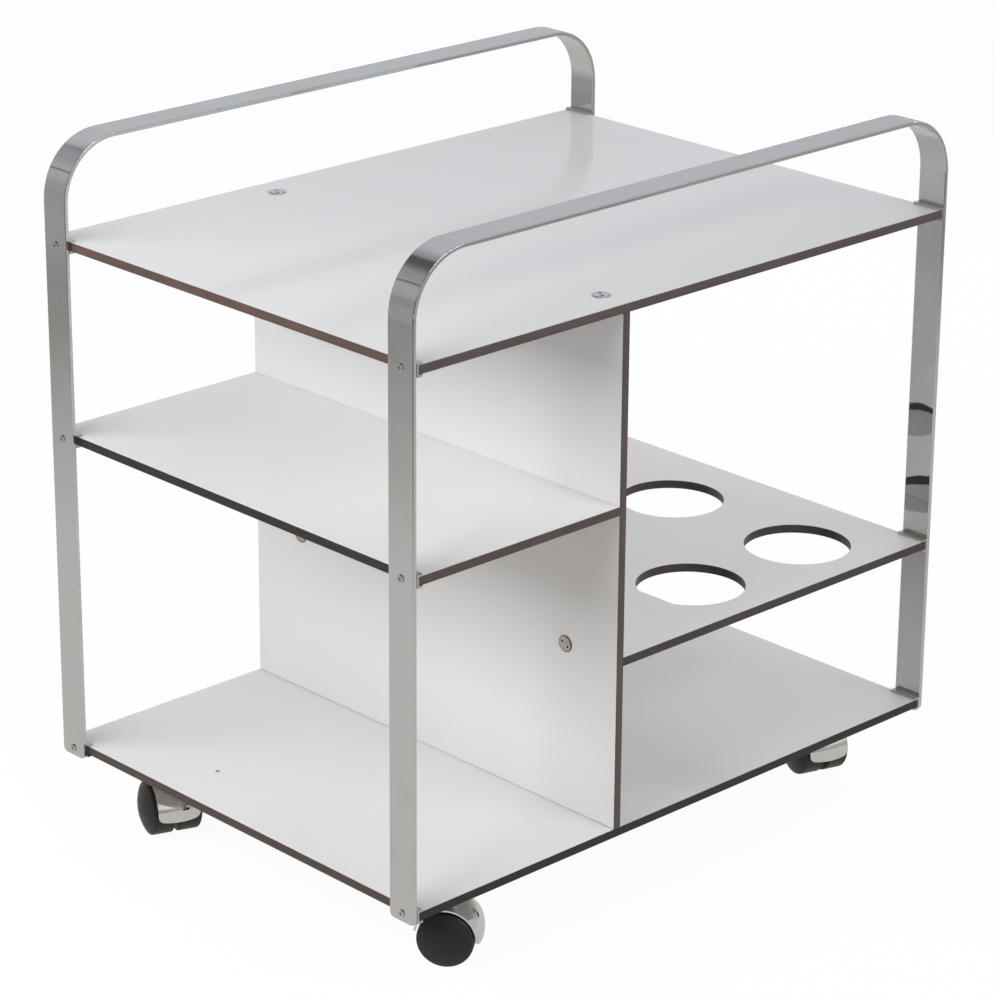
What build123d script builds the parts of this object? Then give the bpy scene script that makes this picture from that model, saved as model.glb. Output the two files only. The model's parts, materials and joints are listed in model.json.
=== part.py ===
# Serving trolley: laminate shelves hung between two bent flat-bar hoops, on four twin-wheel casters.
# Millimetres, +Z up, X along the trolley, front at -Y; the origin is on the floor under its middle.
from build123d import *
from math import sqrt
import os

# Hoops of flat bar
overall_length = 648.0
overall_depth = 475.0
bar_width = 30.0
bar_thickness = 4.0
bend_radius = 56.0
bar_arris = 1.0
foot_corner_radius = 5.0
foot_drop = 11.5
hoop_rise = 90.0

# Laminate panels; a rise is measured between the top faces of a shelf and of the bottom shelf
panel_thickness = 8.0
panel_edge_break = 0.4
bottle_shelf_rise = 160.0
side_shelf_rise = 300.0
top_shelf_rise = 479.0
left_bay_length = 229.3

# Holes in the bottle shelf, measured from its outer edges
bottle_hole_diameter = 99.0
bottle_hole_columns = 2
bottle_hole_rows = 3
bottle_column_spacing = 142.8
bottle_end_margin = 93.4
bottle_front_margin = 75.5
bottle_rear_margin = 79.5

# Clips that wrap the shelf ends
clip_sheet = 2.0
clip_flange = 4.3
clip_bend_radius = 0.8

# Screws through the legs
leg_screw_diameter = 3.5
leg_screw_grip = 16.0
leg_screw_head_diameter = 7.2
leg_screw_head_height = 1.2
recess_length = 3.6
recess_width = 0.8
recess_depth = 0.9

# Two-hole bolts between the panels
bolt_diameter = 5.0
bolt_grip = 24.0
bolt_head_diameter = 15.4
bolt_head_height = 1.0
bolt_head_round = 0.4
spanner_hole_diameter = 2.6
spanner_hole_spacing = 7.6
spanner_hole_depth = 0.7
spanner_hole_slant = 60.0
shelf_bolt_edge_inset = 30.5
divider_bolt_edge_inset = 62.5

# Casters, from the floor up
wheel_radius = 25.0
wheel_gap = 0.5
wheel_tread_width = 18.5
wheel_dome_rise = 7.0
wheel_shoulder_radius = 3.0
wheel_inner_round = 1.0
wheel_bore_end_gap = 1.0
hood_crown_gap = 3.6
hood_edge_gap = 1.2
hood_thickness = 1.4
hood_half_width = 20.0
hood_front_rim = -5.0
hood_back_rim = 2.5
hood_rim_bow = 2.0
hood_corner_radius = 6.0
hood_half_turn = 150.0
core_thickness = 6.0
core_disc_radius = 19.0
core_rim_gap = 0.1
core_front_angle = -12.0
core_back_angle = 170.0
boss_radius = 9.0
boss_rise = 3.0
boss_wheel_gap = 1.0
boss_web_drop = 6.0
axle_diameter = 8.0
axle_end_cover = 5.0
stem_diameter = 9.0
stem_grip = 8.0
stem_end_gap = 1.0
swivel_gap = 0.6
bearing_radius = 12.0
bearing_length = 12.4
plate_thickness = 3.0
plate_size = 58.0
plate_corner_radius = 7.0
plate_screw_inset = 8.0
plate_screw_diameter = 3.5
plate_screw_grip = 6.0
plate_screw_head_diameter = 7.2
plate_screw_head_height = 2.2
caster_trail = 22.0

# Swivel axes, measured in from the shelf ends and the long edges
left_caster_end_inset = 60.0
left_caster_edge_inset = 59.5
right_caster_end_inset = 46.0
right_caster_edge_inset = 101.5

# Directions in which the wheels trail at rest, in degrees from +X
front_left_heading = -53.0
rear_left_heading = -110.0
front_right_heading = -108.0
rear_right_heading = -95.0

# Clearances
screw_hole_clearance = 0.15
pilot_clearance = 0.03
running_clearance = 0.05
boss_clearance = 0.1
pilot_end_gap = 1.0

# Levels above the floor, and the hood's radii round the axle
axle_height = wheel_radius
hood_inner_crown = wheel_radius + hood_crown_gap
hood_outer_crown = hood_inner_crown + hood_thickness
hood_inner_edge = wheel_radius + hood_edge_gap
hood_outer_edge = hood_inner_edge + hood_thickness
boss_top = axle_height + hood_outer_crown + boss_rise
bearing_bottom = boss_top + swivel_gap
plate_bottom = bearing_bottom + bearing_length
bottom_shelf_top = plate_bottom + plate_thickness + panel_thickness
bottle_shelf_top = bottom_shelf_top + bottle_shelf_rise
side_shelf_top = bottom_shelf_top + side_shelf_rise
top_shelf_top = bottom_shelf_top + top_shelf_rise
hoop_top = top_shelf_top + hoop_rise
foot_level = bottom_shelf_top - foot_drop
half_panel = panel_thickness / 2

# Places along and across
leg_face = overall_length / 2
shelf_end = leg_face - bar_thickness - clip_sheet
half_depth = overall_depth / 2
rail_y = half_depth - bar_width / 2
divider_left = -shelf_end + left_bay_length
divider_right = divider_left + panel_thickness
divider_middle = divider_left + half_panel
hoop_places = {"front": -rail_y, "rear": rail_y}
shelf_bolt_rows = (-half_depth + shelf_bolt_edge_inset, half_depth - shelf_bolt_edge_inset)
divider_bolt_rows = (-half_depth + divider_bolt_edge_inset, half_depth - divider_bolt_edge_inset)

# Shelf levels carried by the legs at each end
left_levels = {"bottom": bottom_shelf_top, "side": side_shelf_top, "top": top_shelf_top}
right_levels = {"bottom": bottom_shelf_top, "bottle": bottle_shelf_top, "top": top_shelf_top}
leg_levels = {-1: left_levels, 1: right_levels}

left_caster_x = -shelf_end + left_caster_end_inset
left_caster_y = half_depth - left_caster_edge_inset
right_caster_x = shelf_end - right_caster_end_inset
right_caster_y = half_depth - right_caster_edge_inset
casters = {
    "front_left": (left_caster_x, -left_caster_y, front_left_heading),
    "rear_left": (left_caster_x, left_caster_y, rear_left_heading),
    "front_right": (right_caster_x, -right_caster_y, front_right_heading),
    "rear_right": (right_caster_x, right_caster_y, rear_right_heading),
}
plate_screw_spacing = plate_size - 2 * plate_screw_inset

os.makedirs("parts", exist_ok=True)


def save(piece, name):
    """Label a finished piece and write its file."""
    piece.part.label = name
    export_step(piece.part, f"parts/{name}.step")


def pan_screw(seat, head_diameter, head_height, shank_diameter, shank_length):
    """A cross-recessed screw whose head stands on the seat plane."""
    with BuildPart() as screw:
        with BuildSketch(seat):
            Circle(head_diameter / 2)
        extrude(amount=head_height)
        rim = screw.edges().sort_by(Axis(seat.origin, seat.z_dir))[-1]
        fillet(rim, head_height / 2)
        with BuildSketch(seat.offset(head_height)):
            Rectangle(recess_length, recess_width)
            Rectangle(recess_width, recess_length)
        extrude(amount=-recess_depth, mode=Mode.SUBTRACT)
        with BuildSketch(seat):
            Circle(shank_diameter / 2)
        extrude(amount=-shank_length)
    return screw.part


def spanner_bolt(seat):
    """A flat round-headed bolt with two spanner holes, its head on the seat plane."""
    with BuildPart() as bolt:
        with BuildSketch(seat):
            Circle(bolt_head_diameter / 2)
        extrude(amount=bolt_head_height)
        rim = bolt.edges().sort_by(Axis(seat.origin, seat.z_dir))[-1]
        fillet(rim, bolt_head_round)
        with BuildSketch(seat.offset(bolt_head_height)):
            with PolarLocations(spanner_hole_spacing / 2, 2, spanner_hole_slant):
                Circle(spanner_hole_diameter / 2)
        extrude(amount=-spanner_hole_depth, mode=Mode.SUBTRACT)
        with BuildSketch(seat):
            Circle(bolt_diameter / 2)
        extrude(amount=-(panel_thickness + bolt_grip))
    return bolt.part


def shelf_blank(x_low, x_high, top):
    """A laminate shelf with broken edges, before its holes."""
    with BuildPart() as blank:
        with BuildSketch(Plane.XY.offset(top - panel_thickness)):
            with Locations(((x_low + x_high) / 2, 0)):
                Rectangle(x_high - x_low, overall_depth)
        extrude(amount=panel_thickness)
        chamfer(blank.faces().filter_by(Axis.Z).edges(), panel_edge_break)
    return blank.part


def end_pilots(end, top):
    """Screw holes that run into a shelf from one of its ends, end -1 left and +1 right."""
    with BuildPart() as pilots:
        with BuildSketch(Plane.YZ.offset(end * shelf_end)):
            with Locations(*[(y, top - half_panel) for y in hoop_places.values()]):
                Circle(leg_screw_diameter / 2 + pilot_clearance)
        extrude(amount=-end * (leg_screw_grip + pilot_end_gap))
    return pilots.part


def edge_pilots(seat, rows):
    """Bolt holes that run into a panel's edge from the seat plane, one in each row."""
    with BuildPart() as pilots:
        with BuildSketch(seat):
            with Locations(*[(0, y) for y in rows]):
                Circle(bolt_diameter / 2 + pilot_clearance)
        extrude(amount=-(bolt_grip + pilot_end_gap))
    return pilots.part


def facing(x, y, z, direction):
    """A plane at a point, facing along X or Z, with its own Y along the trolley's depth."""
    return Plane(origin=(x, y, z), x_dir=(-direction[2], 0, direction[0]), z_dir=direction)


def hood_half(across, spin, first_angle, rim):
    """Half of the crowned band, up to the top of the wheels, cut to a rim with rounded corners."""
    outline_top = 2 * hood_outer_crown
    section = Plane(across.location * Location((0, 0, 0), (90 - first_angle, 0, 0)))
    with BuildPart() as half:
        with BuildSketch(section):
            with BuildLine():
                outer = ThreePointArc(
                    (-hood_half_width, hood_outer_edge),
                    (0, hood_outer_crown),
                    (hood_half_width, hood_outer_edge),
                )
                inner = ThreePointArc(
                    (-hood_half_width, hood_inner_edge),
                    (0, hood_inner_crown),
                    (hood_half_width, hood_inner_edge),
                )
                Line(outer @ 0, inner @ 0)
                Line(outer @ 1, inner @ 1)
            make_face()
        revolve(axis=spin, revolution_arc=hood_half_turn)
        with BuildSketch(across) as outline:
            with BuildLine():
                bow = ThreePointArc(
                    (-hood_half_width, rim + hood_rim_bow),
                    (0, rim),
                    (hood_half_width, rim + hood_rim_bow),
                )
                Polyline(bow @ 0, (-hood_half_width, outline_top), (hood_half_width, outline_top), bow @ 1)
            make_face()
            fillet(outline.vertices().group_by(Axis.Y)[0], hood_corner_radius)
        extrude(amount=outline_top, both=True, mode=Mode.INTERSECT)
    return half.part


# Hoops: flat bar bent to an inverted U, rounded at the feet and drilled for the leg screws
for place, y in hoop_places.items():
    with BuildPart() as hoop:
        with BuildSketch(Plane.XZ.offset(-y)):
            with BuildLine():
                FilletPolyline(
                    (-leg_face, foot_level),
                    (-leg_face, hoop_top),
                    (leg_face, hoop_top),
                    (leg_face, foot_level),
                    radius=bend_radius,
                )
                FilletPolyline(
                    (-leg_face + bar_thickness, foot_level),
                    (-leg_face + bar_thickness, hoop_top - bar_thickness),
                    (leg_face - bar_thickness, hoop_top - bar_thickness),
                    (leg_face - bar_thickness, foot_level),
                    radius=bend_radius - bar_thickness,
                )
                Line((-leg_face, foot_level), (-leg_face + bar_thickness, foot_level))
                Line((leg_face, foot_level), (leg_face - bar_thickness, foot_level))
            make_face()
        extrude(amount=bar_width / 2, both=True)
        fillet(hoop.edges().filter_by(Axis.X).group_by(Axis.Z)[0], foot_corner_radius)
        foot_zone = hoop.edges().filter_by_position(
            Axis.Z, foot_level - bar_arris, foot_level + foot_corner_radius + bar_arris
        )
        smooth_edges = foot_zone.filter_by(Axis.X) + (hoop.edges() - foot_zone).filter_by(Axis.Y)
        fillet(hoop.edges() - smooth_edges, bar_arris)
        for end, levels in leg_levels.items():
            with BuildSketch(Plane.YZ.offset(end * leg_face)):
                with Locations(*[(y, top - half_panel) for top in levels.values()]):
                    Circle(leg_screw_diameter / 2 + screw_hole_clearance)
            extrude(amount=-end * bar_thickness, mode=Mode.SUBTRACT)
    save(hoop, f"{place}_hoop")

# Top shelf, with the holes of the bolts that go down into the divider
with BuildPart() as top_shelf:
    add(shelf_blank(-shelf_end, shelf_end, top_shelf_top))
    with BuildSketch(Plane.XY.offset(top_shelf_top)):
        with Locations(*[(divider_middle, y) for y in shelf_bolt_rows]):
            Circle(bolt_diameter / 2 + screw_hole_clearance)
    extrude(amount=-panel_thickness, mode=Mode.SUBTRACT)
    for end in leg_levels:
        add(end_pilots(end, top_shelf_top), mode=Mode.SUBTRACT)
save(top_shelf, "top_shelf")

# Bottom shelf, drilled for the divider's bolts and for the caster plates
with BuildPart() as bottom_shelf:
    add(shelf_blank(-shelf_end, shelf_end, bottom_shelf_top))
    with BuildSketch(Plane.XY.offset(bottom_shelf_top)):
        with Locations(*[(divider_middle, y) for y in shelf_bolt_rows]):
            Circle(bolt_diameter / 2 + screw_hole_clearance)
    extrude(amount=-panel_thickness, mode=Mode.SUBTRACT)
    with BuildSketch(Plane.XY.offset(bottom_shelf_top - panel_thickness)):
        with Locations(*[(x, y) for x, y, heading in casters.values()]):
            with GridLocations(plate_screw_spacing, plate_screw_spacing, 2, 2):
                Circle(plate_screw_diameter / 2 + pilot_clearance)
    extrude(amount=plate_screw_grip + pilot_end_gap, mode=Mode.SUBTRACT)
    for end in leg_levels:
        add(end_pilots(end, bottom_shelf_top), mode=Mode.SUBTRACT)
save(bottom_shelf, "bottom_shelf")

# Side shelf of the left bay, bolted through the divider from the right
side_shelf_seat = facing(divider_left, 0, side_shelf_top - half_panel, (1, 0, 0))
with BuildPart() as side_shelf:
    add(shelf_blank(-shelf_end, divider_left, side_shelf_top))
    add(end_pilots(-1, side_shelf_top), mode=Mode.SUBTRACT)
    add(edge_pilots(side_shelf_seat, divider_bolt_rows), mode=Mode.SUBTRACT)
save(side_shelf, "side_shelf")

# Bottle shelf of the right bay, with its round holes, bolted through the divider from the left
bottle_shelf_seat = facing(divider_right, 0, bottle_shelf_top - half_panel, (-1, 0, 0))
bottle_first_row = -half_depth + bottle_front_margin
bottle_row_spacing = (overall_depth - bottle_front_margin - bottle_rear_margin) / (bottle_hole_rows - 1)
bottle_last_column = shelf_end - bottle_end_margin
bottle_holes = [
    (bottle_last_column - column * bottle_column_spacing, bottle_first_row + row * bottle_row_spacing)
    for column in range(bottle_hole_columns)
    for row in range(bottle_hole_rows)
]
with BuildPart() as bottle_shelf:
    add(shelf_blank(divider_right, shelf_end, bottle_shelf_top))
    with BuildSketch(Plane.XY.offset(bottle_shelf_top)):
        with Locations(*bottle_holes):
            Circle(bottle_hole_diameter / 2)
    extrude(amount=-panel_thickness, mode=Mode.SUBTRACT)
    add(end_pilots(1, bottle_shelf_top), mode=Mode.SUBTRACT)
    add(edge_pilots(bottle_shelf_seat, divider_bolt_rows), mode=Mode.SUBTRACT)
save(bottle_shelf, "bottle_shelf")

# Upright divider between the bottom and top shelves
divider_height = top_shelf_rise - panel_thickness
top_edge_seat = facing(divider_middle, 0, bottom_shelf_top + divider_height, (0, 0, 1))
bottom_edge_seat = facing(divider_middle, 0, bottom_shelf_top, (0, 0, -1))
cross_levels = (side_shelf_top - half_panel, bottle_shelf_top - half_panel)
with BuildPart() as divider:
    with BuildSketch(Plane.YZ.offset(divider_left)):
        with Locations((0, bottom_shelf_top + divider_height / 2)):
            Rectangle(overall_depth, divider_height)
    extrude(amount=panel_thickness)
    chamfer(divider.faces().filter_by(Axis.X).edges(), panel_edge_break)
    with BuildSketch(Plane.YZ.offset(divider_left)):
        with Locations(*[(y, z) for y in divider_bolt_rows for z in cross_levels]):
            Circle(bolt_diameter / 2 + screw_hole_clearance)
    extrude(amount=panel_thickness, mode=Mode.SUBTRACT)
    for seat in (top_edge_seat, bottom_edge_seat):
        add(edge_pilots(seat, shelf_bolt_rows), mode=Mode.SUBTRACT)
save(divider, "divider_panel")

# Clips: a bent sheet over the shelf's end at every leg and level
for place, y in hoop_places.items():
    for end, levels in leg_levels.items():
        for level, top in levels.items():
            clip_low = top - panel_thickness - clip_sheet
            clip_high = top + clip_sheet
            clip_back = end * (shelf_end + clip_sheet)
            clip_tip = end * (shelf_end - clip_flange)
            with BuildPart() as clip:
                with BuildSketch(Plane.XZ.offset(-y)):
                    with BuildLine():
                        Polyline(
                            (clip_tip, clip_high),
                            (clip_back, clip_high),
                            (clip_back, clip_low),
                            (clip_tip, clip_low),
                            (clip_tip, clip_low + clip_sheet),
                            (end * shelf_end, clip_low + clip_sheet),
                            (end * shelf_end, top),
                            (clip_tip, top),
                            close=True,
                        )
                    make_face()
                extrude(amount=bar_width / 2, both=True)
                outer_bends = clip.faces().sort_by(Axis.X)[-1 if end > 0 else 0].edges().filter_by(Axis.Y)
                fillet(outer_bends, clip_bend_radius)
                with BuildSketch(Plane.YZ.offset(clip_back)):
                    with Locations((y, top - half_panel)):
                        Circle(leg_screw_diameter / 2 + screw_hole_clearance)
                extrude(amount=-end * clip_sheet, mode=Mode.SUBTRACT)
            side = "left" if end < 0 else "right"
            save(clip, f"{place}_{side}_{level}_clip")

# Leg screws, one group for each hoop
leg_screw_length = bar_thickness + clip_sheet + leg_screw_grip
for place, y in hoop_places.items():
    seats = [
        facing(end * leg_face, y, top - half_panel, (end, 0, 0))
        for end, levels in leg_levels.items()
        for top in levels.values()
    ]
    screws = [
        pan_screw(seat, leg_screw_head_diameter, leg_screw_head_height, leg_screw_diameter, leg_screw_length)
        for seat in seats
    ]
    with BuildPart() as leg_screws:
        add(screws)
    save(leg_screws, f"{place}_leg_screws")

# Bolts between the panels, one group for each joint
bolt_groups = {
    "top_shelf_bolts": [facing(divider_middle, y, top_shelf_top, (0, 0, 1)) for y in shelf_bolt_rows],
    "bottom_shelf_bolts": [
        facing(divider_middle, y, bottom_shelf_top - panel_thickness, (0, 0, -1)) for y in shelf_bolt_rows
    ],
    "bottle_shelf_bolts": [
        facing(divider_left, y, bottle_shelf_top - half_panel, (-1, 0, 0)) for y in divider_bolt_rows
    ],
    "side_shelf_bolts": [
        facing(divider_right, y, side_shelf_top - half_panel, (1, 0, 0)) for y in divider_bolt_rows
    ],
}
for name, seats in bolt_groups.items():
    group = [spanner_bolt(seat) for seat in seats]
    with BuildPart() as bolts:
        add(group)
    save(bolts, name)

# Casters
wheel_inside = core_thickness / 2 + wheel_gap
wheel_outside = wheel_inside + wheel_tread_width
wheel_tip = wheel_outside + wheel_dome_rise
axle_half_length = wheel_tip - axle_end_cover
bore_end = axle_half_length + wheel_bore_end_gap
core_rim_radius = hood_inner_crown - core_rim_gap
core_rim_turn = core_back_angle - core_front_angle
boss_near = max(caster_trail - boss_radius, 0)
boss_bottom = axle_height + sqrt(wheel_radius**2 - boss_near**2) + boss_wheel_gap
web_bottom = boss_bottom - boss_web_drop

for place, (x, y, heading) in casters.items():
    base = Plane(Location((x, y, 0), (0, 0, heading)))
    axle_middle = base.from_local_coords(Vector(caster_trail, 0, axle_height))
    across = Plane(origin=axle_middle, x_dir=base.y_dir, z_dir=base.x_dir)
    side = Plane(origin=axle_middle, x_dir=base.x_dir, z_dir=-base.y_dir)
    spin = Axis(axle_middle, side.z_dir)

    # Fixing plate under the bottom shelf, with the bearing cup for the stem
    with BuildPart() as plate:
        with BuildSketch(Plane.XY.offset(plate_bottom)):
            with Locations((x, y)):
                RectangleRounded(plate_size, plate_size, plate_corner_radius)
        extrude(amount=plate_thickness)
        with BuildSketch(Plane.XY.offset(bearing_bottom)):
            with Locations((x, y)):
                Circle(bearing_radius)
        extrude(amount=bearing_length)
        with BuildSketch(Plane.XY.offset(bearing_bottom)):
            with Locations((x, y)):
                Circle(stem_diameter / 2 + running_clearance)
        extrude(amount=bearing_length, mode=Mode.SUBTRACT)
        with BuildSketch(Plane.XY.offset(plate_bottom)):
            with Locations((x, y)):
                with GridLocations(plate_screw_spacing, plate_screw_spacing, 2, 2):
                    Circle(plate_screw_diameter / 2 + screw_hole_clearance)
        extrude(amount=plate_thickness, mode=Mode.SUBTRACT)
    save(plate, f"{place}_caster_plate")

    # Four screws through the plate's corners
    reach = plate_screw_spacing / 2
    screw_places = [(x + dx, y + dy) for dx in (-reach, reach) for dy in (-reach, reach)]
    screws = [
        pan_screw(
            facing(screw_x, screw_y, plate_bottom, (0, 0, -1)),
            plate_screw_head_diameter,
            plate_screw_head_height,
            plate_screw_diameter,
            plate_thickness + plate_screw_grip,
        )
        for screw_x, screw_y in screw_places
    ]
    with BuildPart() as plate_screws:
        add(screws)
    save(plate_screws, f"{place}_caster_screws")

    # Swivel stem, gripped in the boss and turning in the bearing cup
    with BuildPart() as stem:
        with BuildSketch(base.offset(boss_top - stem_grip)):
            Circle(stem_diameter / 2 - pilot_clearance)
        extrude(amount=stem_grip)
        with BuildSketch(base.offset(boss_top)):
            Circle(stem_diameter / 2)
        extrude(amount=plate_bottom - stem_end_gap - boss_top)
    save(stem, f"{place}_caster_stem")

    # Core between the wheels: a disc, a rim that fills the hood, and the boss of the stem
    with BuildPart() as core:
        with BuildSketch(side):
            Circle(core_disc_radius)
            with BuildLine():
                rim_arc = CenterArc((0, 0), core_rim_radius, core_front_angle, core_rim_turn)
                Line((0, 0), rim_arc @ 0)
                Line((0, 0), rim_arc @ 1)
            make_face()
            with Locations((-caster_trail, (web_bottom + boss_bottom) / 2 - axle_height)):
                Rectangle(2 * boss_radius, boss_bottom - web_bottom)
        extrude(amount=core_thickness / 2, both=True)
        with BuildSketch(base.offset(boss_bottom)):
            Circle(boss_radius)
        extrude(amount=boss_top - boss_bottom)
        with BuildSketch(side):
            Circle(axle_diameter / 2 + pilot_clearance)
        extrude(amount=core_thickness, both=True, mode=Mode.SUBTRACT)
        with BuildSketch(base.offset(boss_top)):
            Circle(stem_diameter / 2)
        extrude(amount=-stem_grip, mode=Mode.SUBTRACT)
    save(core, f"{place}_caster_core")

    # Hood: a crowned band round the wheels, open below, let in round the boss
    halves = [
        hood_half(across, spin, 90 - hood_half_turn, hood_front_rim),
        hood_half(across, spin, 90, hood_back_rim),
    ]
    with BuildPart() as hood:
        add(halves)
        with BuildSketch(base.offset(web_bottom - boss_clearance)):
            Circle(boss_radius + boss_clearance)
        extrude(amount=boss_top - web_bottom, mode=Mode.SUBTRACT)
    save(hood, f"{place}_caster_hood")

    # Axle through the core, its ends inside the wheels
    with BuildPart() as axle:
        with BuildSketch(side):
            Circle(axle_diameter / 2)
        extrude(amount=axle_half_length, both=True)
    save(axle, f"{place}_caster_axle")

    # Twin wheels: a plain tread and a domed outer face
    for letter, hand in (("a", 1), ("b", -1)):
        with BuildPart() as wheel:
            with BuildSketch(across) as outline:
                with BuildLine():
                    bore_radius = axle_diameter / 2 + running_clearance
                    TangentArc((hand * wheel_tip, 0), (hand * wheel_outside, wheel_radius), tangent=(0, 1))
                    Polyline(
                        (hand * wheel_outside, wheel_radius),
                        (hand * wheel_inside, wheel_radius),
                        (hand * wheel_inside, bore_radius),
                        (hand * bore_end, bore_radius),
                        (hand * bore_end, 0),
                        (hand * wheel_tip, 0),
                    )
                make_face()
                corners = outline.vertices()
                shoulder = corners.sort_by_distance((hand * wheel_outside, wheel_radius))[0]
                inner_corner = corners.sort_by_distance((hand * wheel_inside, wheel_radius))[0]
                fillet(shoulder, wheel_shoulder_radius)
                fillet(inner_corner, wheel_inner_round)
            revolve(axis=spin)
        save(wheel, f"{place}_wheel_{letter}")
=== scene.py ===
# Serving trolley: finishes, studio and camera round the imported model. Metres, +Z up.
import json
import math

import bpy
from mathutils import Matrix

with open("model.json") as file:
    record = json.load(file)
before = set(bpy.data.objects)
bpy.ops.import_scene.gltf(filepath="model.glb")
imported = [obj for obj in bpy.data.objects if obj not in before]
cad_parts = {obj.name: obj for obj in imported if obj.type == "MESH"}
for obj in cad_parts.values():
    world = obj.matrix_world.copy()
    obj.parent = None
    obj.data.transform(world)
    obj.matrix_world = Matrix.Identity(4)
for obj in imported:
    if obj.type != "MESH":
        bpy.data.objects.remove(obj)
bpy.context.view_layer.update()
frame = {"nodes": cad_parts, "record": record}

nodes = frame["nodes"]
scene = bpy.context.scene

# In the values below a noise is (scale, detail, roughness), edges are where a smooth step starts
# and ends, and a bump is (strength, distance).
X_AXIS, Z_AXIS = 0, 2
WHITE = (1.0, 1.0, 1.0)

# Camera, solved from the straight edges of the trolley
PICTURE_WIDTH = 994
FOCAL_PIXELS = 3671.12
SENSOR_WIDTH = 36.0
CAMERA_PLACE = (-2.15607, -2.2441, 1.49262)
CAMERA_AZIMUTH = math.radians(-43.5252)
CAMERA_ELEVATION = math.radians(19.981)
CAMERA_ROLL = math.radians(0.3008)
CAMERA_SHIFT = (0.01604, -0.06284)

# Floor: in reflections it has a pool of light round the trolley, is a little brighter again
# further off, and is darker toward the camera
FLOOR_SIZE = 120.0
FLOOR_SHOW = 0.95
FLOOR_ROUGHNESS = 0.9
FLOOR_BOUNCE = (0.50, 0.46, 0.42)
POOL_CENTRE = (0.15, 0.0, 0.0)
POOL_STRETCH = (1.0, 0.85, 1.0)
POOL_EDGES = (1.0, 2.0)
POOL_LEVELS = (0.68, 0.36)
POOL_TINT = (1.0, 0.985, 0.95)
HORIZON_EDGES = (1.95, 2.2)
HORIZON_RISE = 0.09
DARK_SIDE = (-0.69, -0.72, 0.0)
DARK_EDGES = (1.1, 1.7)
DARK_SHARE = 0.45

# Walls: brightness low down and higher up on each side, and the heights where these change
WALL_LEVELS = {
    "east": (0.60, 0.60),
    "north": (0.75, 0.75),
    "south": (0.50, 1.05),
    "west": (0.08, 0.30),
}
LOW_WALL_EDGES = (0.12, 0.24)
WALL_TOP_EDGES = (0.60, 0.70)
ZENITH_GUARD = 0.0001

# Ceiling: dim in the west, brighter toward the east
CEILING_LEVELS = (0.21, 0.42, 0.65)
CEILING_WEST_EDGES = (-0.06, 0.03)
CEILING_EAST_EDGES = (0.0, 0.25)

# The west half is dimmer high up, and has a dim tilted stripe
WEST_EDGES = (-0.08, 0.0)
WEST_RISE_EDGES = (0.36, 0.62)
WEST_DIM = 0.35
STRIPE_WEST_EDGES = (-0.40, -0.25)
STRIPE_PIVOT = 0.70
STRIPE_SLOPE = 1.3
STRIPE_LOW_EDGES = (0.444, 0.456)
STRIPE_HIGH_EDGES = (0.476, 0.490)
STRIPE_DIM = 0.5

# A bright window high on the south wall
KEY_LEVEL = 4.0
KEY_SOUTH_EDGES = (0.55, 0.70)
KEY_LOW_EDGES = (0.46, 0.52)
KEY_HIGH_EDGES = (0.64, 0.70)
KEY_WEST_EDGES = (-0.16, -0.10)
KEY_EAST_EDGES = (0.42, 0.50)

# The world is warm in the south west, and cool in the north east and above
WARM_TINT = (1.0, 0.985, 0.965)
COOL_TINT = (0.945, 0.975, 1.035)
COOL_SIDE_EDGES = (-0.6, 0.9)
COOL_TOP_EDGES = (0.6, 0.75)

# Softboxes: place, size, tilt and turn in degrees, power, colour
FILL_COLOUR = (1.0, 0.98, 0.95)
SOFTBOXES = {
    "left_softbox": ((-1.5, 0.45, 1.12), (2.1, 0.65), (68, -90), 25.0, WHITE),
    "right_fill": ((2.0, 0.7, 1.1), (1.6, 0.8), (72, 108), 7.5, FILL_COLOUR),
    "front_fill": ((0.4, -2.2, 1.0), (1.6, 0.8), (74, 0), 10.5, FILL_COLOUR),
}

# Laminate panels: white gloss faces on a dark brown core that shows at the edges.
# The edge tones are those of the long edges and of the ends, set per panel and per facing as
# painted light and shade on the one brown core.
UPRIGHT_PANEL = "divider_panel"
# The whites differ from panel to panel as painted light and shade: one laminate, set lighter where
# more light falls and darker where less does.
PAINTED_LIGHT_PANEL_WHITES = {
    "top_shelf": 0.785,
    "side_shelf": 0.830,
    "bottle_shelf": 0.790,
    "bottom_shelf": 0.755,
    "divider_panel": 0.770,
}
PAINTED_SHADE_EDGE_TONES = {
    "top_shelf": ((0.085, 0.067, 0.066), (0.105, 0.065, 0.057)),
    "side_shelf": ((0.074, 0.056, 0.051), (0.018, 0.014, 0.016)),
    "bottle_shelf": ((0.040, 0.028, 0.029), (0.040, 0.028, 0.029)),
    "bottom_shelf": ((0.007, 0.005, 0.005), (0.068, 0.047, 0.037)),
    "divider_panel": ((0.084, 0.063, 0.054), (0.084, 0.063, 0.054)),
}
FACE_SQUARENESS = 0.9
END_SQUARENESS = 0.7
WHITE_SWING = 0.01
WHITE_BLUE_SWING = 0.005
WHITE_CLOUD, WHITE_CLOUD_EDGES = (3.0, 2.0, 0.5), (0.35, 0.70)
SPECK, SPECK_EDGES = (420.0, 2.0, 0.6), (0.70, 0.80)
SPECK_SHARE, SPECK_TONE = 0.10, (0.5, 0.47, 0.44)
SAW, SAW_EDGES = (1.0, 2.0, 0.5), (0.35, 0.70)
SAW_ALONG, SAW_ACROSS = 6.0, 900.0
SAW_SHARE, SAW_DARKENING = 0.35, 0.40
PATCH, PATCH_EDGES = (14.0, 3.0, 0.5), (0.45, 0.75)
PATCH_SHARE, PATCH_LIGHTENING = 0.5, 1.6
SMUDGE, SMUDGE_EDGES = (9.0, 4.0, 0.6), (0.40, 0.75)
FACE_ROUGHNESS = (0.11, 0.15)
EDGE_ROUGHNESS = 0.42
LAMINATE_RIPPLE, LAMINATE_BUMP = (160.0, 1.0, 0.5), (0.02, 0.0002)

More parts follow.
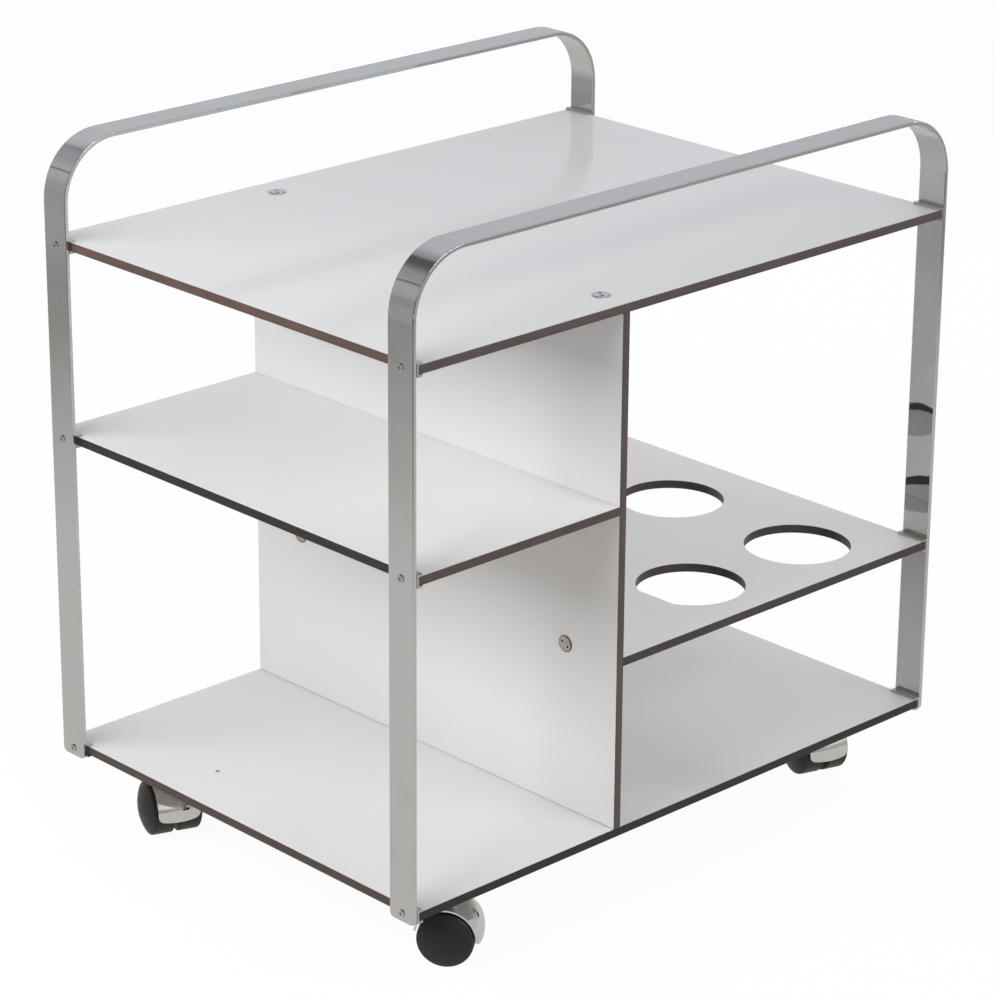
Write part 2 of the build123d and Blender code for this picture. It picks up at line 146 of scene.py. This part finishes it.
# A small dark mark on the bottom shelf
MARKED_PANEL = "bottom_shelf"
MARK_PLACE = (-0.265, 0.088, 0.082)
MARK_EDGES = (0.0012, 0.0030)
MARK_SHARE, MARK_TONE = 0.8, (0.05, 0.045, 0.04)

# Plating: material, brightness, roughness and share of stain in each slot
PLATINGS = {
    "chrome": ("bar_chrome", 0.60, 0.025, 0.5),
    "clip": ("clip_chrome", 0.50, 0.10, 0.8),
    "fastener": ("screw_nickel", 0.60, 0.40, 0.8),
    "zinc": ("zinc_plating", 0.48, 0.30, 0.8),
    "hood": ("hood_chrome", 0.70, 0.05, 0.6),
}
STAIN, STAIN_EDGES = (11.0, 4.0, 0.6), (0.45, 0.75)
STAIN_TINT = (0.90, 0.86, 0.78)
PIT_SCALE, PIT_EDGES = 210.0, (0.05, 0.10)
PITTED_AREA, PITTED_FROM = (26.0, 2.0, 0.5), 0.56
PIT_SHARE, PIT_TONE, PIT_ROUGHNESS = 0.55, (0.12, 0.11, 0.10), 0.2
FILM, FILM_EDGES, FILM_ROUGHNESS = (30.0, 4.0, 0.65), (0.40, 0.80), 0.03
PLATING_WAVE, PLATING_BUMP = (22.0, 1.0, 0.5), (0.3, 0.001)

# Two-hole bolts, a pair in each node: whether they stand upright, their row on either side of the
# middle, their place along the trolley or their height, their outer face, and the painted shade on
# the rim
BOLT_PAIRS = {
    "top_shelf_bolts": (True, 0.207, -0.0847, 0.562, 0.35),
    "bottom_shelf_bolts": (True, 0.207, -0.0847, 0.073, 0.35),
    "bottle_shelf_bolts": (False, 0.175, 0.238, -0.0897, 0.85),
    "side_shelf_bolts": (False, 0.175, 0.378, -0.0797, 0.85),
}
# Bright and dull tone of upright bolts, and of those that lie in the divider, which are set darker
# and browner as painted shade
UPRIGHT_BOLT_TONES = ((0.68, 0.68, 0.69), (0.56, 0.56, 0.57))
SHADED_LYING_BOLT_TONES = ((0.52, 0.47, 0.41), (0.34, 0.30, 0.26))
RIM_EDGES = (0.0064, 0.0074)
HOLE_DEPTH_EDGES = (0.0002, 0.0005)
HOLE_REACH_EDGES = (0.0060, 0.0064)
# Painted shade: how dark the spanner holes get, and the tone that holes and rim are darkened
# toward
HOLE_SHADE, PAINTED_SHADE_TONE = 0.9, (0.08, 0.068, 0.06)
BOLT_CLOUD, BOLT_CLOUD_EDGES = (160.0, 3.0, 0.6), (0.40, 0.70)
BOLT_ROUGHNESS, CLOUD_ROUGHNESS, RIM_ROUGHNESS = 0.2, 0.1, 0.2
BOLT_WAVE, BOLT_BUMP = (240.0, 2.0, 0.5), (0.1, 0.0003)

# Plastic: material, colour, roughness and share of dust in each slot
PLASTICS = {
    "core": ("core_plastic", (0.016, 0.016, 0.016), 0.45, 0.25),
    "wheel": ("wheel_plastic", (0.004, 0.004, 0.0045), 0.40, 0.06),
}
DUST, DUST_EDGES, DUST_TONE = (48.0, 4.0, 0.65), (0.50, 0.80), (0.13, 0.12, 0.11)
GRAIN, GRAIN_ROUGHNESS, GRAIN_BUMP = (260.0, 2.0, 0.5), 0.12, (0.06, 0.0002)

# Sockets of a Mix node that mixes colours
MIX_FACTOR, MIX_FIRST, MIX_SECOND, MIX_RESULT = 0, 6, 7, 2


class Sock:
    """A socket of a finish; arithmetic on it adds Math nodes."""

    def __init__(self, finish, socket):
        self.finish = finish
        self.socket = socket

    def math(self, operation, *others):
        return self.finish.add("ShaderNodeMath", {"operation": operation}, [self, *others])

    def __add__(self, other):
        return self.math("ADD", other)

    def __radd__(self, other):
        return self.math("ADD", other)

    def __sub__(self, other):
        return self.math("SUBTRACT", other)

    def __rsub__(self, other):
        return (self * -1) + other

    def __mul__(self, other):
        return self.math("MULTIPLY", other)

    def __rmul__(self, other):
        return self.math("MULTIPLY", other)

    def __truediv__(self, other):
        return self.math("DIVIDE", other)

    def __abs__(self):
        return self.math("ABSOLUTE")

    def __gt__(self, other):
        return self.math("GREATER_THAN", other)

    def most(self, other):
        return self.math("MAXIMUM", other)

    def step(self, low, high, first=0.0, last=1.0):
        """A smooth change from first to last as the value goes from low to high."""
        settings = {"interpolation_type": "SMOOTHSTEP"}
        return self.finish.add("ShaderNodeMapRange", settings, [self, low, high, first, last])

    def fall(self, low, high, first=1.0):
        """A smooth change from first to nothing as the value goes from low to high."""
        return self.step(low, high, first, 0.0)


class Finish:
    """A material or world under construction, with one way to add any node to it."""

    def __init__(self, name, owner=None):
        self.owner = owner or bpy.data.materials.new(name)
        self.owner.use_nodes = True
        self.tree = self.owner.node_tree
        self.shader = self.tree.nodes.get("Principled BSDF")

    def add(self, kind, settings=None, inputs=(), output=0):
        node = self.tree.nodes.new(kind)
        for key, value in (settings or {}).items():
            setattr(node, key, value)
        pairs = inputs.items() if isinstance(inputs, dict) else enumerate(inputs)
        for key, value in pairs:
            self.join(value, node.inputs[key])
        return Sock(self, node.outputs[output])

    def join(self, value, socket):
        if isinstance(value, Sock):
            self.tree.links.new(value.socket, socket)
        else:
            socket.default_value = value

    def set(self, **sockets):
        for name, value in sockets.items():
            self.join(value, self.shader.inputs[name.replace("_", " ")])

    def place(self):
        return self.add("ShaderNodeTexCoord", output="Object")

    def facing(self):
        return self.add("ShaderNodeTexCoord", output="Normal")

    def ray(self, kind):
        return self.add("ShaderNodeLightPath", output=f"Is {kind} Ray")

    def parts(self, vector):
        split = self.add("ShaderNodeSeparateXYZ", inputs=[vector])
        return [Sock(self, socket) for socket in split.socket.node.outputs]

    def vectors(self, operation, first, second, output="Vector"):
        return self.add("ShaderNodeVectorMath", {"operation": operation}, [first, second], output)

    def scaled(self, scale):
        return self.vectors("MULTIPLY", self.place(), scale)

    def distance(self, vector, point):
        return self.vectors("DISTANCE", vector, point, "Value")

    def noise(self, scale, detail, roughness, vector=None):
        vector = vector or self.place()
        inputs = {"Vector": vector, "Scale": scale, "Detail": detail, "Roughness": roughness}
        return self.add("ShaderNodeTexNoise", None, inputs)

    def cells(self, scale):
        return self.add("ShaderNodeTexVoronoi", None, {"Vector": self.place(), "Scale": scale})

    def mix(self, factor, first, second):
        inputs = {MIX_FACTOR: factor, MIX_FIRST: first, MIX_SECOND: second}
        return self.add("ShaderNodeMix", {"data_type": "RGBA"}, inputs, MIX_RESULT)

    def tinted(self, factor, colour, share):
        """The colour, changed to a share of itself as far as the factor says."""
        changed = self.vectors("MULTIPLY", colour, (share, share, share))
        return self.mix(factor, colour, changed)

    def bump(self, height, strength, distance):
        inputs = {"Height": height, "Strength": strength, "Distance": distance}
        return self.add("ShaderNodeBump", None, inputs)


def rgba(r, g, b):
    return (r, g, b, 1.0)


def laminate_finish(name, axis):
    """The finish of one panel; axis is the one across its thickness."""
    f = Finish(f"{name}_laminate")
    normal = f.parts(f.facing())
    face = abs(normal[axis]) > FACE_SQUARENESS
    # The panel's white level carries painted light and shade.
    level = PAINTED_LIGHT_PANEL_WHITES[name]
    shade = rgba(level - WHITE_SWING, level - WHITE_SWING, level - WHITE_BLUE_SWING)
    shine = rgba(level + WHITE_SWING, level + WHITE_SWING, level + WHITE_SWING)
    white = f.mix(f.noise(*WHITE_CLOUD).step(*WHITE_CLOUD_EDGES), shade, shine)
    speck = f.noise(*SPECK).step(*SPECK_EDGES)
    white = f.mix(speck * SPECK_SHARE, white, rgba(*SPECK_TONE))
    if name == MARKED_PANEL:
        mark = f.distance(f.place(), MARK_PLACE).fall(*MARK_EDGES, MARK_SHARE)
        white = f.mix(mark, white, rgba(*MARK_TONE))
    # The edge tones are painted light and shade: the same brown core, lighter or darker by panel
    # and by facing.
    long_tone, end_tone = PAINTED_SHADE_EDGE_TONES[name]
    brown = f.mix(abs(normal[X_AXIS]) > END_SQUARENESS, rgba(*long_tone), rgba(*end_tone))
    saw_scale = [SAW_ALONG, SAW_ALONG, SAW_ALONG]
    saw_scale[axis] = SAW_ACROSS
    saw = f.noise(*SAW, f.scaled(saw_scale)).step(*SAW_EDGES, last=SAW_SHARE)
    brown = f.tinted(saw, brown, SAW_DARKENING)
    patch = f.noise(*PATCH).step(*PATCH_EDGES, last=PATCH_SHARE)
    brown = f.tinted(patch, brown, PATCH_LIGHTENING)
    gloss = f.noise(*SMUDGE).step(*SMUDGE_EDGES, *FACE_ROUGHNESS)
    f.set(
        Base_Color=f.mix(face, brown, white),
        Roughness=face * gloss + (1 - face) * EDGE_ROUGHNESS,
        Normal=f.bump(f.noise(*LAMINATE_RIPPLE), *LAMINATE_BUMP),
    )
    return f.owner


def plating_finish(name, level, roughness, stain):
    """Bright plating with faint warm stains, pin-holes and a slightly wavy face."""
    f = Finish(name)
    blotch = f.noise(*STAIN).step(*STAIN_EDGES)
    stained = rgba(*(level * share for share in STAIN_TINT))
    tone = f.mix(blotch * stain, rgba(level, level, level), stained)
    pits = f.cells(PIT_SCALE).fall(*PIT_EDGES) * (f.noise(*PITTED_AREA) > PITTED_FROM)
    film = f.noise(*FILM).step(*FILM_EDGES)
    f.set(
        Base_Color=f.mix(pits * PIT_SHARE, tone, rgba(*PIT_TONE)),
        Metallic=1.0,
        Roughness=film * FILM_ROUGHNESS + pits * PIT_ROUGHNESS + roughness,
        Normal=f.bump(f.noise(*PLATING_WAVE), *PLATING_BUMP),
    )
    return f.owner


def bolt_finish(name, upright, row, level, face, rim_shade):
    """Dull nickel with painted shade in the spanner holes and round the rim.

    The two heads are at plus and minus row across the trolley and at level along or up it;
    face is where their outer face lies.
    """
    f = Finish(f"{name}_nickel")
    x, y, z = f.parts(f.place())
    along, depth = (x - level, abs(z - face)) if upright else (z - level, abs(x - face))
    aside = abs(y) - row
    from_axis = (aside * aside + along * along).math("SQRT")
    # Painted shade round the rim and in the spanner holes
    rim = from_axis.step(*RIM_EDGES, last=rim_shade)
    holes = depth.step(*HOLE_DEPTH_EDGES) * from_axis.fall(*HOLE_REACH_EDGES)
    cloud = f.noise(*BOLT_CLOUD).step(*BOLT_CLOUD_EDGES)
    # Bolts in the divider take darker tones as painted shade
    bright, dull = UPRIGHT_BOLT_TONES if upright else SHADED_LYING_BOLT_TONES
    tone = f.mix(cloud, rgba(*bright), rgba(*dull))
    f.set(
        Base_Color=f.mix(rim.most(holes * HOLE_SHADE), tone, rgba(*PAINTED_SHADE_TONE)),
        Metallic=1.0,
        Roughness=cloud * CLOUD_ROUGHNESS + rim * RIM_ROUGHNESS + BOLT_ROUGHNESS,
        Normal=f.bump(f.noise(*BOLT_WAVE), *BOLT_BUMP),
    )
    return f.owner


def plastic_finish(name, colour, roughness, dust):
    """Moulded black plastic with a little floor dust."""
    f = Finish(name)
    grain = f.noise(*GRAIN)
    dirt = f.noise(*DUST).step(*DUST_EDGES) * dust
    f.set(
        Base_Color=f.mix(dirt, rgba(*colour), rgba(*DUST_TONE)),
        Roughness=grain * GRAIN_ROUGHNESS + roughness,
        Normal=f.bump(grain, *GRAIN_BUMP),
    )
    return f.owner


bolts = {name: bolt_finish(name, *values) for name, values in BOLT_PAIRS.items()}
slots = {slot: plating_finish(*values) for slot, values in PLATINGS.items()}
slots.update({slot: plastic_finish(*values) for slot, values in PLASTICS.items()})
for part in frame["record"]["subparts"]:
    name = part["node"]
    mesh = nodes[name].data
    if part["material_slot"] == "laminate":
        finish = laminate_finish(name, X_AXIS if name == UPRIGHT_PANEL else Z_AXIS)
    else:
        finish = bolts.get(name, slots[part["material_slot"]])
    mesh.materials.clear()
    mesh.materials.append(finish)

# Floor: white where it is looked at, with a pool of light in reflections and a soft shadow
bpy.ops.object.select_all(action="DESELECT")
bpy.ops.mesh.primitive_plane_add(size=FLOOR_SIZE)
floor = bpy.context.object
floor.name = "floor"
f = Finish("floor_white")
camera_ray = f.ray("Camera")
seen = camera_ray.most(f.ray("Glossy")).most(f.ray("Transmission"))
from_pool = f.distance(f.scaled(POOL_STRETCH), POOL_CENTRE)
toward_dark = f.vectors("DOT_PRODUCT", f.place(), DARK_SIDE, "Value")
pool = from_pool.step(*POOL_EDGES, *POOL_LEVELS)
pool = pool + from_pool.step(*HORIZON_EDGES, last=HORIZON_RISE)
pool = pool * toward_dark.step(*DARK_EDGES, 1.0, DARK_SHARE)
tone = f.mix(camera_ray, rgba(*POOL_TINT), rgba(*WHITE))
glow = f.add("ShaderNodeEmission", None, {"Color": tone, "Strength": camera_ray.most(pool)})
f.set(Base_Color=f.mix(seen, rgba(*FLOOR_BOUNCE), rgba(*WHITE)), Roughness=FLOOR_ROUGHNESS)
plain = Sock(f, f.shader.outputs["BSDF"])
shown = f.add("ShaderNodeMixShader", None, [seen * FLOOR_SHOW, plain, glow])
f.join(shown, f.tree.nodes["Material Output"].inputs["Surface"])
floor.data.materials.append(f.owner)

# World: pale walls of different brightness under a dim ceiling
world = bpy.data.worlds.new("studio")
scene.world = world
w = Finish("studio", world)
x, y, z = w.parts(w.add("ShaderNodeTexCoord", output="Generated"))
south, west = y * -1, x * -1
sides = {"east": x, "north": y, "south": south, "west": west}
level_sum = x * x + y * y + ZENITH_GUARD
wall = z.fall(*WALL_TOP_EDGES)
lower = z.fall(*LOW_WALL_EDGES)
dark_ceiling, mid_ceiling, pale_ceiling = CEILING_LEVELS
ceiling = x.step(*CEILING_WEST_EDGES, dark_ceiling, mid_ceiling)
ceiling = ceiling + x.step(*CEILING_EAST_EDGES, last=pale_ceiling - mid_ceiling)
light = (1 - wall) * ceiling
for side, (low_level, high_level) in WALL_LEVELS.items():
    toward = sides[side].most(0.0)
    share = toward * toward / level_sum
    light = light + share * (lower * low_level + (wall - lower) * high_level)
west_dim = x.fall(*WEST_EDGES) * z.step(*WEST_RISE_EDGES, last=WEST_DIM)
tilted = z + (y - STRIPE_PIVOT) * STRIPE_SLOPE
stripe = tilted.step(*STRIPE_LOW_EDGES) * tilted.fall(*STRIPE_HIGH_EDGES)
stripe = x.fall(*STRIPE_WEST_EDGES) * stripe * STRIPE_DIM
light = light * (1 - west_dim) * (1 - stripe)
key = south.step(*KEY_SOUTH_EDGES) * z.step(*KEY_LOW_EDGES) * z.fall(*KEY_HIGH_EDGES)
key = key * x.step(*KEY_WEST_EDGES) * x.fall(*KEY_EAST_EDGES)
light = light + key * KEY_LEVEL
cool = (x + y).step(*COOL_SIDE_EDGES).most(z.step(*COOL_TOP_EDGES))
background = w.tree.nodes["Background"]
w.join(w.mix(cool, rgba(*WARM_TINT), rgba(*COOL_TINT)), background.inputs["Color"])
w.join(light, background.inputs["Strength"])

# Softboxes: a long one on the left and two weak fills, none of them seen in reflections
for name, (place, size, (tilt, turn), power, colour) in SOFTBOXES.items():
    lamp = bpy.data.lights.new(name, "AREA")
    lamp.shape = "RECTANGLE"
    lamp.size, lamp.size_y = size
    lamp.energy = power
    lamp.color = colour
    softbox = bpy.data.objects.new(name, lamp)
    scene.collection.objects.link(softbox)
    softbox.location = place
    softbox.rotation_euler = (math.radians(tilt), 0, math.radians(turn))
    softbox.visible_camera = False
    softbox.visible_glossy = False

# Camera
lens = bpy.data.cameras.new("camera")
lens.sensor_fit = "HORIZONTAL"
lens.sensor_width = SENSOR_WIDTH
lens.lens = FOCAL_PIXELS * SENSOR_WIDTH / PICTURE_WIDTH
lens.shift_x, lens.shift_y = CAMERA_SHIFT
camera = bpy.data.objects.new("camera", lens)
scene.collection.objects.link(camera)
aim = (
    Matrix.Rotation(CAMERA_AZIMUTH, 4, "Z")
    @ Matrix.Rotation(math.pi / 2 - CAMERA_ELEVATION, 4, "X")
    @ Matrix.Rotation(CAMERA_ROLL, 4, "Z")
)
camera.matrix_world = Matrix.Translation(CAMERA_PLACE) @ aim
scene.camera = camera
scene.view_settings.view_transform = "Standard"
